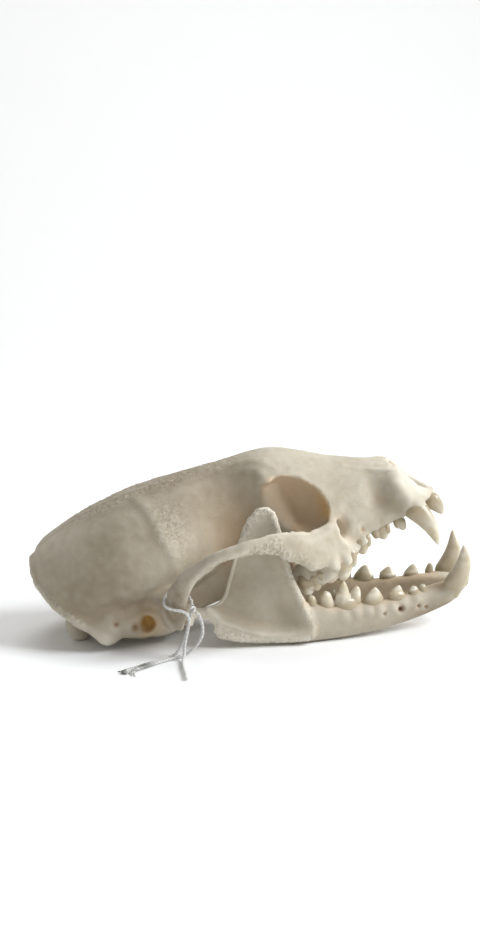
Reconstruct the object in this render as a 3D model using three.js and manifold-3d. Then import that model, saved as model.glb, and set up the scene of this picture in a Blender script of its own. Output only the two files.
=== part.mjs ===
// A fisher's skull with its two lower jaws, life size, lying on a table with the mouth open, and a short
// cotton string tied round the right cheek arch.
// Millimetres, +Z up, +X towards the snout, +Y towards the animal's left. The table is z = 0.
// The cranium is built level, in its own frame: x runs forward from the occipital condyles and z is the
// height over the basal line. A group then tilts it, so that it rests on its condyles with the snout up.
import * as THREE from 'three';
import { mergeVertices } from 'three/addons/utils/BufferGeometryUtils.js';
import { LoftGeometry } from 'three/addons/geometries/LoftGeometry.js';
import Module from 'manifold-3d';

const wasm = await Module();
wasm.setup();

// ---- Driving dimensions -------------------------------------------------------------------------
const SNOUT_UP = THREE.MathUtils.degToRad(20); // tilt of the cranium on the table
const CRANIUM_AT = new THREE.Vector3(-48.25, 0, 5.3); // its own origin, on the table
const JAWS_AT = new THREE.Vector3(-3.25, 0, 0.8); // origin of the lower jaws, on the table
const STRING_RADIUS = 0.45;
const TABLE_SIZE = [300, 200, 60];
const RIGHT = -1;
const LEFT = 1;
const UP = new THREE.Vector3(0, 0, 1);
const FORWARD = new THREE.Vector3(1, 0, 0);

// ---- Small tools --------------------------------------------------------------------------------
const v3 = (x, y, z) => new THREE.Vector3(x, y, z);

// A smooth value along a line, through a few [position, value] stations.
function profile(stations) {
  const last = stations.length - 1;
  const slope = stations.map((s, i) => {
    const before = stations[Math.max(i - 1, 0)];
    const after = stations[Math.min(i + 1, last)];
    return (after[1] - before[1]) / (after[0] - before[0]);
  });
  return (x) => {
    if (x <= stations[0][0]) return stations[0][1];
    if (x >= stations[last][0]) return stations[last][1];
    const i = stations.findIndex((s) => s[0] > x) - 1;
    const [x0, y0] = stations[i];
    const [x1, y1] = stations[i + 1];
    const span = x1 - x0;
    const t = (x - x0) / span;
    const blend = (3 - 2 * t) * t * t;
    const leaving = t * (1 - t) * (1 - t) * span * slope[i];
    const arriving = t * t * (1 - t) * span * slope[i + 1];
    return y0 + (y1 - y0) * blend + leaving - arriving;
  };
}

// A closed geometry as a solid for joining and cutting, faces out whichever way it was wound.
function solid(geometry) {
  const bare = new THREE.BufferGeometry();
  bare.setAttribute('position', geometry.getAttribute('position'));
  bare.setIndex(geometry.index);
  const merged = mergeVertices(bare, 1e-4);
  const vertProperties = merged.attributes.position.array;
  const triVerts = new Uint32Array(merged.index.array);
  const made = new wasm.Manifold(new wasm.Mesh({ numProp: 3, vertProperties, triVerts }));
  if (made.volume() > 0) return made;
  for (let i = 0; i < triVerts.length; i += 3) {
    [triVerts[i + 1], triVerts[i + 2]] = [triVerts[i + 2], triVerts[i + 1]];
  }
  return new wasm.Manifold(new wasm.Mesh({ numProp: 3, vertProperties, triVerts }));
}

const join = (solids) => solids.reduce((a, b) => a.add(b));
const cut = (body, tools) => tools.reduce((a, b) => a.subtract(b), body);
const bothSides = (make) => [make(RIGHT), make(LEFT)].flat();

function geometryOf(body) {
  const { numProp, vertProperties, triVerts } = body.getMesh();
  const count = vertProperties.length / numProp;
  const position = new Float32Array(count * 3);
  for (let i = 0; i < count; i++) {
    position.set(vertProperties.subarray(i * numProp, i * numProp + 3), i * 3);
  }
  const geometry = new THREE.BufferGeometry();
  geometry.setAttribute('position', new THREE.BufferAttribute(position, 3));
  geometry.setIndex(new THREE.BufferAttribute(new Uint32Array(triVerts), 1));
  return geometry;
}

const signedPower = (value, power) => Math.sign(value) * Math.abs(value) ** power;

// A body lofted along x. Each station is
// [x, top, bottom, half width, height of the widest line, roundness above, roundness below, centre y];
// a roundness of 2 is an ellipse, more is squarer and less is more pointed.
function loftX(stations, rings, sides) {
  const column = (k) => profile(stations.map((s) => [s[0], s[k] ?? 0]));
  const [top, bottom, half, widest, above, below, centre] = [1, 2, 3, 4, 5, 6, 7].map(column);
  const [start, end] = [stations[0][0], stations.at(-1)[0]];
  const sections = [];
  for (let i = 0; i <= rings; i++) {
    // Rings crowd towards the two ends, where the body rounds off.
    const even = i / rings;
    const crowded = 0.5 - 0.5 * Math.cos(Math.PI * even);
    const x = THREE.MathUtils.lerp(start, end, 0.6 * even + 0.4 * crowded);
    const points = [];
    for (let j = 0; j < sides; j++) {
      const angle = (2 * Math.PI * (j + 0.5)) / sides;
      const upper = Math.sin(angle) > 0;
      const power = 2 / (upper ? above(x) : below(x));
      const reach = upper ? top(x) - widest(x) : widest(x) - bottom(x);
      points.push(v3(
        x,
        centre(x) + half(x) * signedPower(Math.cos(angle), power),
        widest(x) + reach * signedPower(Math.sin(angle), power),
      ));
    }
    sections.push(points);
  }
  return solid(new LoftGeometry(sections, { capStart: true, capEnd: true }));
}

// A body swept along a smooth path. Each station is [point, half height, half thickness]; the height
// lies in the plane of the path and the direction 'upright'.
function sweep(stations, upright, rings, sides) {
  const path = new THREE.CatmullRomCurve3(stations.map((s) => s[0]), false, 'centripetal');
  const last = stations.length - 1;
  const tall = profile(stations.map((s, i) => [i / last, s[1]]));
  const thick = profile(stations.map((s, i) => [i / last, s[2]]));
  const sections = [];
  for (let i = 0; i <= rings; i++) {
    const t = i / rings;
    const centre = path.getPoint(t);
    const along = path.getTangent(t);
    const across = v3().crossVectors(upright, along).normalize();
    const height = v3().crossVectors(along, across).normalize();
    const points = [];
    for (let j = 0; j < sides; j++) {
      const angle = (2 * Math.PI * (j + 0.5)) / sides;
      points.push(centre.clone()
        .addScaledVector(across, Math.cos(angle) * thick(t))
        .addScaledVector(height, Math.sin(angle) * tall(t)));
    }
    sections.push(points);
  }
  return solid(new LoftGeometry(sections, { capStart: true, capEnd: true }));
}

// An ellipsoid with its own radii, turned by Euler angles in degrees.
function egg(centre, radii, turn = [0, 0, 0], around = 7, down = 5) {
  const geometry = new THREE.SphereGeometry(1, around, down);
  geometry.scale(...radii);
  const angles = turn.map(THREE.MathUtils.degToRad);
  geometry.applyQuaternion(new THREE.Quaternion().setFromEuler(new THREE.Euler(...angles)));
  geometry.translate(...centre);
  return solid(geometry);
}

// One cusp of a tooth: a blunt cone whose foot is an ellipse along the tooth row.
function cusp(foot, tip, along, across, sides = 5) {
  return sweep([
    [foot.clone().lerp(tip, -0.4), along * 0.95, across * 0.95],
    [foot.clone().lerp(tip, 0.4), along * 0.86, across * 0.86],
    [tip, along * 0.12, across * 0.16],
  ], FORWARD, 2, sides);
}

// A curved canine, from its root inside the jaw to its tip. It bows forward in the middle.
function canine(root, gum, tip, bow, along, across) {
  const crown = (t) => gum.clone().lerp(tip, t).addScaledVector(FORWARD, bow * Math.sin(Math.PI * t));
  return sweep([
    [root, along * 0.7, across * 0.8],
    [gum, along, across],
    [crown(0.33), along * 0.8, across * 0.86],
    [crown(0.66), along * 0.52, across * 0.6],
    [tip, along * 0.08, across * 0.1],
  ], FORWARD, 5, 6);
}

// ---- Cranium ------------------------------------------------------------------------------------
// Braincase, brow, face and snout in one: from the crest at the back, over the waist behind the brows, to
// the gum of the front teeth. From the waist on, the underside is the palate.
const shell = () => loftX([
  [-6.6, 19.6, 13.6, 8, 16, 2, 2],
  [-5, 22, 9.6, 12.6, 12, 2, 1.5],
  [-2.4, 23.6, 3, 16.4, 8.6, 2, 1.5],
  [1, 24.6, -4, 18.8, 5.6, 2, 1.9],
  [6, 25.8, -5.2, 20.6, 5, 2, 2.2],
  [14, 27.2, -5.4, 21.4, 6, 2, 2.2],
  [23, 28, -5.6, 21.2, 8, 2.05, 2.1],
  [31, 28, -6.4, 19.2, 10, 2.05, 1.9],
  [39, 27.6, -6.2, 15.6, 12, 2, 1.7],
  [47, 26.9, -5, 12.2, 14.5, 2, 1.5],
  [55, 26.1, -4.8, 10.6, 18, 2.2, 1.5],
  [59, 25.7, -5.4, 12, 18, 2.4, 1.7],
  [63.6, 25.2, -6.6, 15, 14, 2.3, 2.2],
  [68, 24.2, -7.6, 15.8, 7, 2.1, 2.8],
  [74, 21.2, -7, 16.4, 1, 1.9, 3],
  [80, 17.4, -6.4, 14.4, -1, 1.85, 3],
  [86, 14.4, -5.9, 12.6, -1.2, 1.8, 3.4],
  [91, 12.1, -5.7, 11.5, -1.4, 1.85, 3.4],
  [96.3, 10.1, -5.7, 11.6, -1.4, 1.95, 3.2],
  [99.4, 7, -5.6, 10.6, -1.8, 2.1, 3],
  [102.4, 1.7, -5, 8.5, -2.4, 2.2, 2.6],
  [105, -2.6, -5.2, 5.8, -4, 2.2, 2.4],
  [106, -3.8, -5, 3.4, -4.4, 2, 2],
], 24, 14);

const sagittalCrest = () => loftX([
  [-6.9, 20.6, 17.6, 0.8, 19, 2, 2],
  [-3.6, 23.8, 17, 1.7, 20, 1.6, 2],
  [4.8, 26.8, 21, 1.6, 24, 1.5, 2],
  [13, 28.6, 24, 1.4, 26, 1.5, 2],
  [21, 29.3, 25, 1.5, 27, 1.5, 2],
  [31, 29.2, 25, 1.8, 27, 1.5, 2],
  [41, 28.2, 25, 2.4, 26.6, 1.6, 2],
  [50, 26.2, 24, 3.4, 25.4, 2, 2],
], 8, 5);

// The crest across the back of the skull, running down on each side to the mastoid.
function nuchalCrest() {
  const half = (side) => [
    [v3(8.6, side * 20.6, -4), 2.6, 1.9],
    [v3(4, side * 20, 0.6), 2.2, 1.5],
    [v3(-0.2, side * 18, 6), 1.9, 1.3],
    [v3(-3.6, side * 14.4, 10.6), 1.9, 1.2],
    [v3(-5.4, side * 9.2, 15), 1.8, 1.2],
  ];
  return sweep([...half(RIGHT), [v3(-5.8, 0, 19.6), 1.5, 1.2], ...half(LEFT).reverse()], FORWARD, 8, 5);
}

// The brow's rear corner, a low point over the orbit.
const browPoint = (side) => cusp(v3(62.4, side * 11, 20), v3(64.8, side * 15.4, 17.6), 4.6, 2.6);

const occipitalCondyle = (side) => egg([-0.7, side * 8, -1.1], [3.5, 4.4, 4.8], [side * 30, 0, side * 20]);
const mastoid = (side) => egg([9.2, side * 19.2, -1.2], [5.8, 3.2, 6.2], [side * 6, 0, side * 6], 7, 4);
const earShelf = (side) => egg([14.8, side * 17.2, -3.4], [6, 4, 5], [0, 0, 0], 6, 4);
const bulla = (side) => egg([22.4, side * 12.4, -5.6], [11.4, 5.6, 6.2], [0, 4, side * -18], 7, 4);

// The ear's bony mouth, a short collar on the side of the bulla, and the hole in it. A shelf of bone joins
// the bulla to the mastoid.
const earCollar = (side) => sweep([
  [v3(19.4, side * 13, -5), 4.6, 5],
  [v3(19.4, side * 18.8, -5.2), 4, 3.5],
], UP, 1, 8);
const earHole = (side) => sweep([
  [v3(19.3, side * 13.6, -5.5), 2.7, 2.1],
  [v3(19.4, side * 21, -5.4), 2.9, 2.3],
], UP, 1, 6);

// Root of the cheek arch: a shelf out from the braincase, with the jaw's socket under it.
const archRoot = (side) => sweep([
  [v3(25, side * 14, 1.6), 3.6, 6],
  [v3(28, side * 19, -0.8), 2.1, 5.8],
  [v3(30, side * 23, -1.7), 1.5, 4.2],
  [v3(30.2, side * 25, -1.7), 1.2, 2],
], UP, 3, 6);
const socketBack = (side) => sweep([
  [v3(24.6, side * 13.6, -4.4), 3, 2],
  [v3(25.2, side * 17.6, -5.4), 4.2, 2],
  [v3(25.8, side * 21.4, -5.4), 4.7, 2],
  [v3(26.4, side * 24.6, -3.6), 3.6, 2],
], UP, 4, 6);

// Cheek arch, from the socket's shelf up and forward, then down to the upper jaw.
const cheekArch = (side) => sweep([
  [v3(28.2, side * 24.7, -8.9), 1.5, 1],
  [v3(28.1, side * 25, -7), 2.5, 1.2],
  [v3(28.8, side * 25.9, -4.4), 3.2, 1.5],
  [v3(29.4, side * 26.3, -2), 3.3, 1.8],
  [v3(31, side * 27.5, 1.7), 3.6, 1.8],
  [v3(35.5, side * 29.3, 5), 2.8, 1.7],
  [v3(42.7, side * 31, 7.4), 2.2, 1.5],
  [v3(49.2, side * 31.2, 7.8), 1.9, 1.5],
  [v3(55.4, side * 30, 6.4), 2.6, 1.6],
  [v3(60.4, side * 28, 4.5), 3, 1.7],
  [v3(63.2, side * 26.4, 2.8), 4.2, 1.6],
  [v3(66, side * 23.8, -1.2), 5.8, 2],
  [v3(70.4, side * 20, -3), 6, 2.4],
  [v3(74.6, side * 16.8, -2.4), 5.6, 2.2],
  [v3(78, side * 14.8, -1.4), 5.2, 1],
], UP, 11, 6);

// The upper jaw's outer shelf, which carries the cheek teeth.
const toothShelf = (side) => sweep([
  [v3(60.5, side * 13.6, -8.2), 1.6, 2.6],
  [v3(65, side * 14.8, -8), 3, 2.8],
  [v3(72, side * 15, -6.8), 2.8, 2.6],
  [v3(81, side * 12, -5), 1.8, 1.6],
], UP, 3, 5);

// Wings behind the palate.
const pterygoid = (side) => sweep([
  [v3(60, side * 6, -4), 4, 1.1],
  [v3(52, side * 5.8, -4.6), 5.4, 1],
  [v3(44, side * 6.6, -5.2), 5.4, 1],
  [v3(36, side * 8.4, -6), 4.4, 1.4],
  [v3(29, side * 10.6, -6), 4, 2],
], UP, 4, 5);

// Hollows: orbit, the nerve's hole under it, the nose, the hole for the spinal cord, and the roof of the
// mouth with the passage behind it.
const orbit = (side) => egg([68, side * 15.8, 9.8], [10.6, 8.4, 7.8], [0, 53, 0], 10, 7);
const nerveHole = (side) => sweep([
  [v3(70, side * 14.4, 2), 2.4, 1.6],
  [v3(76, side * 14.4, -0.6), 2.8, 1.7],
  [v3(81, side * 16, -2), 3, 1.9],
], v3(0.3, 0, 1), 2, 6);
const nasalCavity = () => loftX([
  [84, 9, 3, 3.4, 5.4, 2, 2],
  [90, 10, -0.2, 5, 4.2, 2, 2.2],
  [96, 8.9, -1.6, 6.3, 3.2, 2.1, 2.4],
  [101, 8, -2.4, 6.3, 2.4, 2.2, 2.4],
  [108, 7.4, -2.3, 5.6, 1.4, 2.2, 2.2],
], 3, 8);
const spinalHole = () => egg([-4.6, 0, 3.8], [9.6, 6.4, 5.2], [0, -6, 0], 8, 6);
const palateVault = () => loftX([
  [58, -6.4, -14, 4.6, -9, 2.2, 2],
  [66, -6.6, -14, 7.4, -9, 2, 2],
  [74, -5.8, -14, 8.4, -8.4, 2, 2],
  [84, -4, -14, 6.4, -6.8, 2, 2],
  [94, -3.6, -14, 5.2, -6, 2, 2],
  [101, -4.6, -14, 3.6, -6, 2, 2],
], 4, 6);
const throat = () => loftX([
  [37, -5.4, -14, 3.2, -8, 2.2, 2],
  [50, -3, -14, 4.4, -7, 2.4, 2],
  [59, -3, -9, 4.2, -5.6, 2.2, 2.2],
], 2, 6);

function upperCheekTeeth(side) {
  const p = (x, y, z) => v3(x, side * y, z);
  return [
    // A peg, then two low worn blades.
    cusp(p(93.5, 9.9, -4.6), p(93.6, 10.1, -8.2), 1.7, 1.2),
    cusp(p(87.6, 10.8, -4.8), p(87.8, 11, -9.2), 2.9, 1.3),
    cusp(p(81, 12.5, -5.6), p(80.6, 12.8, -10.3), 3.4, 1.6),
    // Carnassial: a tall cusp and a rear blade.
    cusp(p(74.8, 15.4, -7), p(73.6, 16.2, -14.2), 3.4, 1.9),
    cusp(p(69.4, 16.5, -7.6), p(69, 17, -13.2), 3, 1.6),
    // Molar: an outer cusp and a broad inner lobe.
    cusp(p(64.8, 15.8, -8.6), p(64.8, 16.4, -14.2), 2.9, 1.9),
    egg(p(64, 12.2, -9.6), [2.8, 4.2, 2.2], [0, 0, 0], 8, 5),
  ];
}

function upperIncisors(side) {
  const row = [[105.2, 1.15, 1, 3.6], [104.8, 3.25, 1.1, 4], [103.9, 5.5, 1.5, 5.2]];
  return row.map(([x, y, wide, long]) => cusp(
    v3(x, side * y, -4.4),
    v3(x + 0.34 * long, side * (y + 0.1), -4.4 - long),
    wide * 1.15,
    wide,
    4,
  ));
}

const upperCanine = (side) => canine(
  v3(95.6, side * 8.8, 1.6), v3(98.9, side * 9.9, -4.9), v3(101.1, side * 11.6, -16.1), 0.5, 3.5, 2.5,
);

// ---- Lower jaws ---------------------------------------------------------------------------------
const HINGE_Y = 20;
const HALF_GAP = 0.15; // half the clearance between the two jaws at the chin

const jawBody = (side) => loftX([
  [-6, 3.6, 1.6, 0.7, 2.6, 2, 2, side * 20.3],
  [-3, 4, 0.9, 1.6, 2.2, 2, 2, side * 20.3],
  [4, 4.6, 0, 1.8, 2, 2, 2, side * 19.8],
  [10, 7, -0.5, 2.2, 3, 2, 2.2, side * 18.9],
  [17, 10.4, -0.9, 2.9, 5, 2.3, 2.2, side * 17.6],
  [24, 9, -0.8, 3.3, 4.6, 2.4, 2.2, side * 15.9],
  [32, 9.2, -0.4, 3.2, 4.6, 2.4, 2.2, side * 13.8],
  [40, 8.8, 0.6, 2.9, 4.8, 2.3, 2.2, side * 11.6],
  [47, 10.2, 1.8, 2.8, 6, 2.2, 2.2, side * 9.2],
  [53, 11.4, 3.1, 3.3, 7.4, 2.2, 2.2, side * 6.6],
  [58.4, 12.2, 5.2, 4.2, 9, 2.2, 2.2, side * 4.7],
  [62.4, 11.8, 8, 3.8, 10.2, 2.2, 2.2, side * 4],
  [64.4, 11.6, 10.2, 2.4, 11, 2, 2, side * 3.2],
], 10, 10);

// The upright plate with its tall front point, the hinge's neck and the hooked heel.
function jawPlate(side) {
  const outline = [
    [-9.6, 7.6], [-6.8, 5.4], [-7.4, 3.6], [-5, 1.6], [2, 0.8], [19, 0.2], [19.8, 4], [17, 10], [13.6, 20],
    [11.6, 32], [9.6, 37.1], [6.8, 38], [4, 36.4], [0.9, 31.2], [-3, 18], [-4.8, 12.8], [-8.6, 10.8],
    [-12.4, 9.8],
  ];
  const thickness = 2.2;
  const bevel = 0.6;
  const shape = new THREE.Shape();
  shape.moveTo(...outline[0]);
  shape.splineThru(outline.slice(1).map((p) => new THREE.Vector2(...p)));
  shape.closePath();
  const geometry = new THREE.ExtrudeGeometry(shape, {
    depth: thickness - 2 * bevel, bevelThickness: bevel, bevelSize: bevel, bevelOffset: -bevel,
    bevelSegments: 1, curveSegments: 2,
  });
  geometry.rotateX(Math.PI / 2);
  geometry.translate(0, side * HINGE_Y + thickness / 2 - bevel, 0);
  return solid(geometry);
}

// The ridge that bounds the chewing muscle's hollow in front.
const plateRidge = (side) => sweep([
  [v3(11.4, side * HINGE_Y, 30), 0.9, 1.3],
  [v3(13, side * HINGE_Y, 20), 1.4, 1.7],
  [v3(16.4, side * 19.6, 11), 1.9, 2.2],
  [v3(20, side * 18, 4.6), 1.9, 2.2],
], FORWARD, 5, 5);

const hinge = (side) => egg([-13.8, side * 19.4, 9.5], [2.1, 4.3, 2], [0, 0, side * 6], 7, 5);
const hingeEnd = (side) => egg([-13.6, side * 21.2, 7], [1.7, 1.9, 1.8], [0, 0, 0], 6, 4);
const hingeNeck = (side) => sweep([
  [v3(-13.4, side * HINGE_Y, 9.4), 1.5, 2.4],
  [v3(-9, side * HINGE_Y, 9), 1.8, 1.5],
  [v3(-4, side * HINGE_Y, 8.8), 2, 0.9],
], UP, 2, 5);

function lowerCheekTeeth(side) {
  const p = (x, y, z) => v3(x, side * y, z);
  return [
    // First molar: front blade, tall middle cusp and low heel, with the button-like last molar behind.
    cusp(p(31.4, 14, 9), p(32.3, 14.2, 14.3), 1.9, 1.5),
    cusp(p(28, 15, 8.8), p(28.5, 15.2, 15.8), 3, 1.9, 6),
    egg(p(24, 15.8, 10), [2.6, 1.9, 2.5], [0, 0, 0], 8, 5),
    egg(p(19.6, 17, 10.6), [1.4, 1.3, 1.3], [0, 0, 0], 6, 4),
    cusp(p(37, 12.6, 8.8), p(37.6, 12.8, 12.8), 3.3, 1.5),
    cusp(p(43.7, 10.5, 9.6), p(44.6, 10.7, 12.8), 2.9, 1.4),
    // On the right only a stub is left of the next tooth, and the small one before it is lost.
    ...(side === LEFT
      ? [cusp(p(50.4, 8.6, 11), p(51.1, 8.9, 13.7), 2.6, 1.3), cusp(p(55.2, 7.4, 12), p(55.5, 7.5, 14.2), 1.1, 1)]
      : [egg(p(49.4, 8.8, 10.7), [2, 1.1, 1.1], [0, 0, 0], 8, 4)]),
  ];
}

function lowerIncisors(side) {
  const row = [[64.2, 1.1, 0.75, 2.6], [63.4, 2.6, 0.85, 2.9], [64, 4.2, 0.95, 3.1]];
  return row.map(([x, y, wide, long]) => cusp(
    v3(x, side * y, 11.2), v3(x + 0.25 * long, side * y, 11.2 + long), wide, wide * 0.9, 4,
  ));
}

const lowerCanine = (side) => canine(
  v3(56.6, side * 6, 7.4), v3(60.5, side * 7.5, 12.4), v3(62.9, side * 9.5, 23.6), 1.2, 3.3, 2.4,
);

// ---- String -------------------------------------------------------------------------------------
// It goes once round the root of the right cheek arch and is knotted below it. One end hangs to the table
// and lies there towards the front; the other two strands lie side by side towards the back.
const KNOT = v3(-15.7, -28.1, 13.3);
const KNOT_RADIUS = 0.8;
const LOOP_AND_END = [
  v3(-15.8, -26.7, 13.9), v3(-16, -25.4, 15), v3(-17.3, -24, 16.3), v3(-19.2, -23.3, 17.2),
  v3(-21.4, -23.4, 17.3), v3(-23.3, -24.4, 16.7), v3(-24, -26, 15.5), v3(-23.8, -27.5, 14.3),
  v3(-22.5, -28.8, 13.7), v3(-20.6, -29.3, 13.5), v3(-18.4, -29.5, 13.2), v3(-16.9, -29.5, 12),
  v3(-16.6, -29.4, 10), v3(-17.2, -29.3, 7.3), v3(-17.9, -29.4, 4.2), v3(-18.2, -30.4, 1.4),
  v3(-18.4, -32.8, 0.6), v3(-18.2, -37, 0.6), v3(-17.6, -42, 0.6), v3(-17.1, -47, 0.6),
];
const BIGHT = [
  v3(-14.7, -28.5, 12.6), v3(-13.7, -28.9, 11.3), v3(-13.2, -29, 9.2), v3(-13.2, -29, 6.7),
  v3(-14.2, -28.8, 4.5), v3(-15.8, -28.4, 2.6), v3(-17.8, -28.3, 1), v3(-20, -29.1, 0.6),
  v3(-22.8, -31.2, 0.6), v3(-25.6, -33.8, 0.6), v3(-28.2, -36.3, 0.6), v3(-30.4, -38.5, 0.6),
];
const TAIL = [
  v3(-16.2, -28.1, 12.2), v3(-16.7, -27.9, 9.4), v3(-17.6, -27.7, 6.4), v3(-18.8, -27.4, 3.4),
  v3(-20.4, -27.8, 1.2), v3(-22.2, -29, 0.6), v3(-23.6, -30, 0.6), v3(-26.8, -33.1, 0.6), v3(-30, -36.2, 0.6),
  v3(-32, -38.4, 0.6), v3(-33.8, -40.5, 0.6),
];

function strand(route) {
  const path = new THREE.CatmullRomCurve3(route, false, 'centripetal');
  const section = new THREE.Shape();
  section.absarc(0, 0, STRING_RADIUS, 0, 2 * Math.PI);
  const steps = Math.round(path.getLength() / (6 * STRING_RADIUS));
  return solid(new THREE.ExtrudeGeometry(section, { extrudePath: path, steps, curveSegments: 4 }));
}

// ---- Build --------------------------------------------------------------------------------------
const bone = new THREE.MeshStandardMaterial({ color: 0xe6ddcc, roughness: 0.62, metalness: 0 });
const cotton = new THREE.MeshStandardMaterial({ color: 0xf0efec, roughness: 0.9, metalness: 0 });

const skull = new THREE.Group();
const cranialGroup = new THREE.Group();
const jawGroup = new THREE.Group();
cranialGroup.position.copy(CRANIUM_AT);
cranialGroup.rotation.y = -SNOUT_UP;
jawGroup.position.copy(JAWS_AT);
skull.add(cranialGroup, jawGroup);

// The table's block, seen from inside a group: what reaches lower is cut to a flat that rests on it.
function tableIn(group) {
  group.updateMatrix();
  const block = new THREE.BoxGeometry(...TABLE_SIZE);
  block.translate(0, 0, -TABLE_SIZE[2] / 2);
  block.applyMatrix4(group.matrix.clone().invert());
  return solid(block);
}

// Everything on the far side of the chin's middle plane.
function beyondMiddle(side) {
  const [length, width, height] = TABLE_SIZE;
  const block = new THREE.BoxGeometry(length, width, height * 2);
  block.translate(0, -side * (width / 2 - HALF_GAP), 0);
  return solid(block);
}

function add(group, name, body, material) {
  const mesh = new THREE.Mesh(geometryOf(body), material);
  mesh.name = name;
  group.add(mesh);
}

function cranium() {
  const outside = [
    browPoint, occipitalCondyle, mastoid, earShelf, bulla, earCollar, archRoot, socketBack, cheekArch,
    toothShelf,
  ];
  const eyed = cut(shell(), bothSides(orbit));
  const whole = join([eyed, sagittalCrest(), nuchalCrest(), ...outside.flatMap(bothSides)]);
  const hollows = [spinalHole(), nasalCavity(), palateVault(), throat()];
  const hollowed = cut(whole, [...hollows, ...bothSides(earHole), ...bothSides(nerveHole)]);
  const fixed = [pterygoid, upperCheekTeeth, upperIncisors, upperCanine];
  return cut(join([hollowed, ...fixed.flatMap(bothSides)]), [tableIn(cranialGroup)]);
}

function lowerJaw(side) {
  const makers = [jawBody, jawPlate, plateRidge, hinge, hingeEnd, hingeNeck, lowerCheekTeeth, lowerIncisors, lowerCanine];
  return cut(join(makers.flatMap((make) => make(side))), [tableIn(jawGroup), beyondMiddle(side)]);
}

add(cranialGroup, 'cranium', cranium(), bone);
add(jawGroup, 'mandible_right', lowerJaw(RIGHT), bone);
add(jawGroup, 'mandible_left', lowerJaw(LEFT), bone);
add(skull, 'string_knot', egg(KNOT.toArray(), [KNOT_RADIUS, KNOT_RADIUS, KNOT_RADIUS], [0, 0, 0], 6, 4), cotton);
add(skull, 'string_loop', strand(LOOP_AND_END), cotton);
add(skull, 'string_bight', strand(BIGHT), cotton);
add(skull, 'string_tail', strand(TAIL), cotton);

export default skull;
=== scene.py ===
# The looks of a fisher's skull: a dry, ivory-white skull lying on a table with its mouth open, and a
# short cotton string tied round the right cheek arch. Metres, +Z up, +X towards the snout.
import math

import bmesh
import bpy
import numpy as np
from mathutils import Matrix, Vector, noise


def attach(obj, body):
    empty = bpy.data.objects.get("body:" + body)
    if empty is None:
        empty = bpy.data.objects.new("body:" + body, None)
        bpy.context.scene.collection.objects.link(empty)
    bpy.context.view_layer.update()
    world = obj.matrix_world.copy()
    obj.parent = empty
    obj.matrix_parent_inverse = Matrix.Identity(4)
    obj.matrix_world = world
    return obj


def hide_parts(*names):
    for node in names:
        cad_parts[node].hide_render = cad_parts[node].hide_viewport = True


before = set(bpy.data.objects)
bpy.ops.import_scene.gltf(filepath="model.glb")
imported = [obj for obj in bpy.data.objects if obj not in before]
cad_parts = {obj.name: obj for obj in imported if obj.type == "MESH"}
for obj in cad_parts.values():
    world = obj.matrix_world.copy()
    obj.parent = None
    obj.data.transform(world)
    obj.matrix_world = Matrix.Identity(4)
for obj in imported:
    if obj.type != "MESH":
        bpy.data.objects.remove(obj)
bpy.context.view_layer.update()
MM = 0.001


# ---- Camera -----------------------------------------------------------------------------------------
# The skull is seen from its right side, a little from above, from about 40 cm away.
LOOK_AT = Vector((-1.85, 0, 45.5)) * MM
DISTANCE = 385 * MM
ELEVATION = math.radians(10.2)
AZIMUTH = math.radians(-0.6)
ROLL = math.radians(-1.5)
LENS_MM = 52.77

towards_camera = Vector((
    math.sin(AZIMUTH) * math.cos(ELEVATION),
    -math.cos(AZIMUTH) * math.cos(ELEVATION),
    math.sin(ELEVATION),
))
level_right = Vector((math.cos(AZIMUTH), math.sin(AZIMUTH), 0))
level_up = towards_camera.cross(level_right)
camera_right = level_right * math.cos(ROLL) + level_up * math.sin(ROLL)
camera_up = level_up * math.cos(ROLL) - level_right * math.sin(ROLL)
camera = bpy.data.objects.new("camera", bpy.data.cameras.new("camera"))
bpy.context.collection.objects.link(camera)
camera.matrix_world = Matrix.Translation(LOOK_AT + towards_camera * DISTANCE) @ Matrix(
    (camera_right, camera_up, towards_camera)
).transposed().to_4x4()
camera.data.sensor_width = 36
camera.data.lens = LENS_MM
camera.data.clip_start = 0.01
bpy.context.scene.camera = camera


# ---- Cranium ----------------------------------------------------------------------------------------
# The braincase, face and cheek arches of the skull in one bone: boiled and dried, ivory white, with a
# smooth forehead plate, rough muscle lines and brown hollows, partly stained and partly painted shade.
# It lies on its condyles.
CRANIUM_AT = np.array((-48.25, 0, 5.3))
SNOUT_UP = math.radians(20)
CRANIUM_VOXEL = 0.52


def level(points):
    """World millimetres into the cranium's own level frame."""
    x, y, z = (points - CRANIUM_AT).T
    cos, sin = math.cos(SNOUT_UP), math.sin(SNOUT_UP)
    return np.column_stack((x * cos + z * sin, y, z * cos - x * sin))


def tilted(points):
    """The cranium's own level frame into world millimetres."""
    x, y, z = points.T
    cos, sin = math.cos(SNOUT_UP), math.sin(SNOUT_UP)
    return np.column_stack((x * cos - z * sin, y, x * sin + z * cos)) + CRANIUM_AT


def read_points(mesh):
    """A mesh's points, in millimetres."""
    flat = np.empty(len(mesh.vertices) * 3)
    mesh.vertices.foreach_get("co", flat)
    return flat.reshape(-1, 3) / MM


def write_points(mesh, points):
    mesh.vertices.foreach_set("co", (points * MM).ravel())
    mesh.update()


def new_piece(name, mesh):
    piece = bpy.data.objects.new(name, mesh)
    bpy.context.collection.objects.link(piece)
    return piece


WELD = 0.002


def solid_copy(node, name):
    """A copy of a CAD node as one welded mesh."""
    piece = new_piece(name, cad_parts[node].data.copy())
    piece.data.materials.clear()
    bm = bmesh.new()
    bm.from_mesh(piece.data)
    bmesh.ops.remove_doubles(bm, verts=bm.verts, dist=WELD * MM)
    bm.to_mesh(piece.data)
    bm.free()
    return piece


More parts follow.
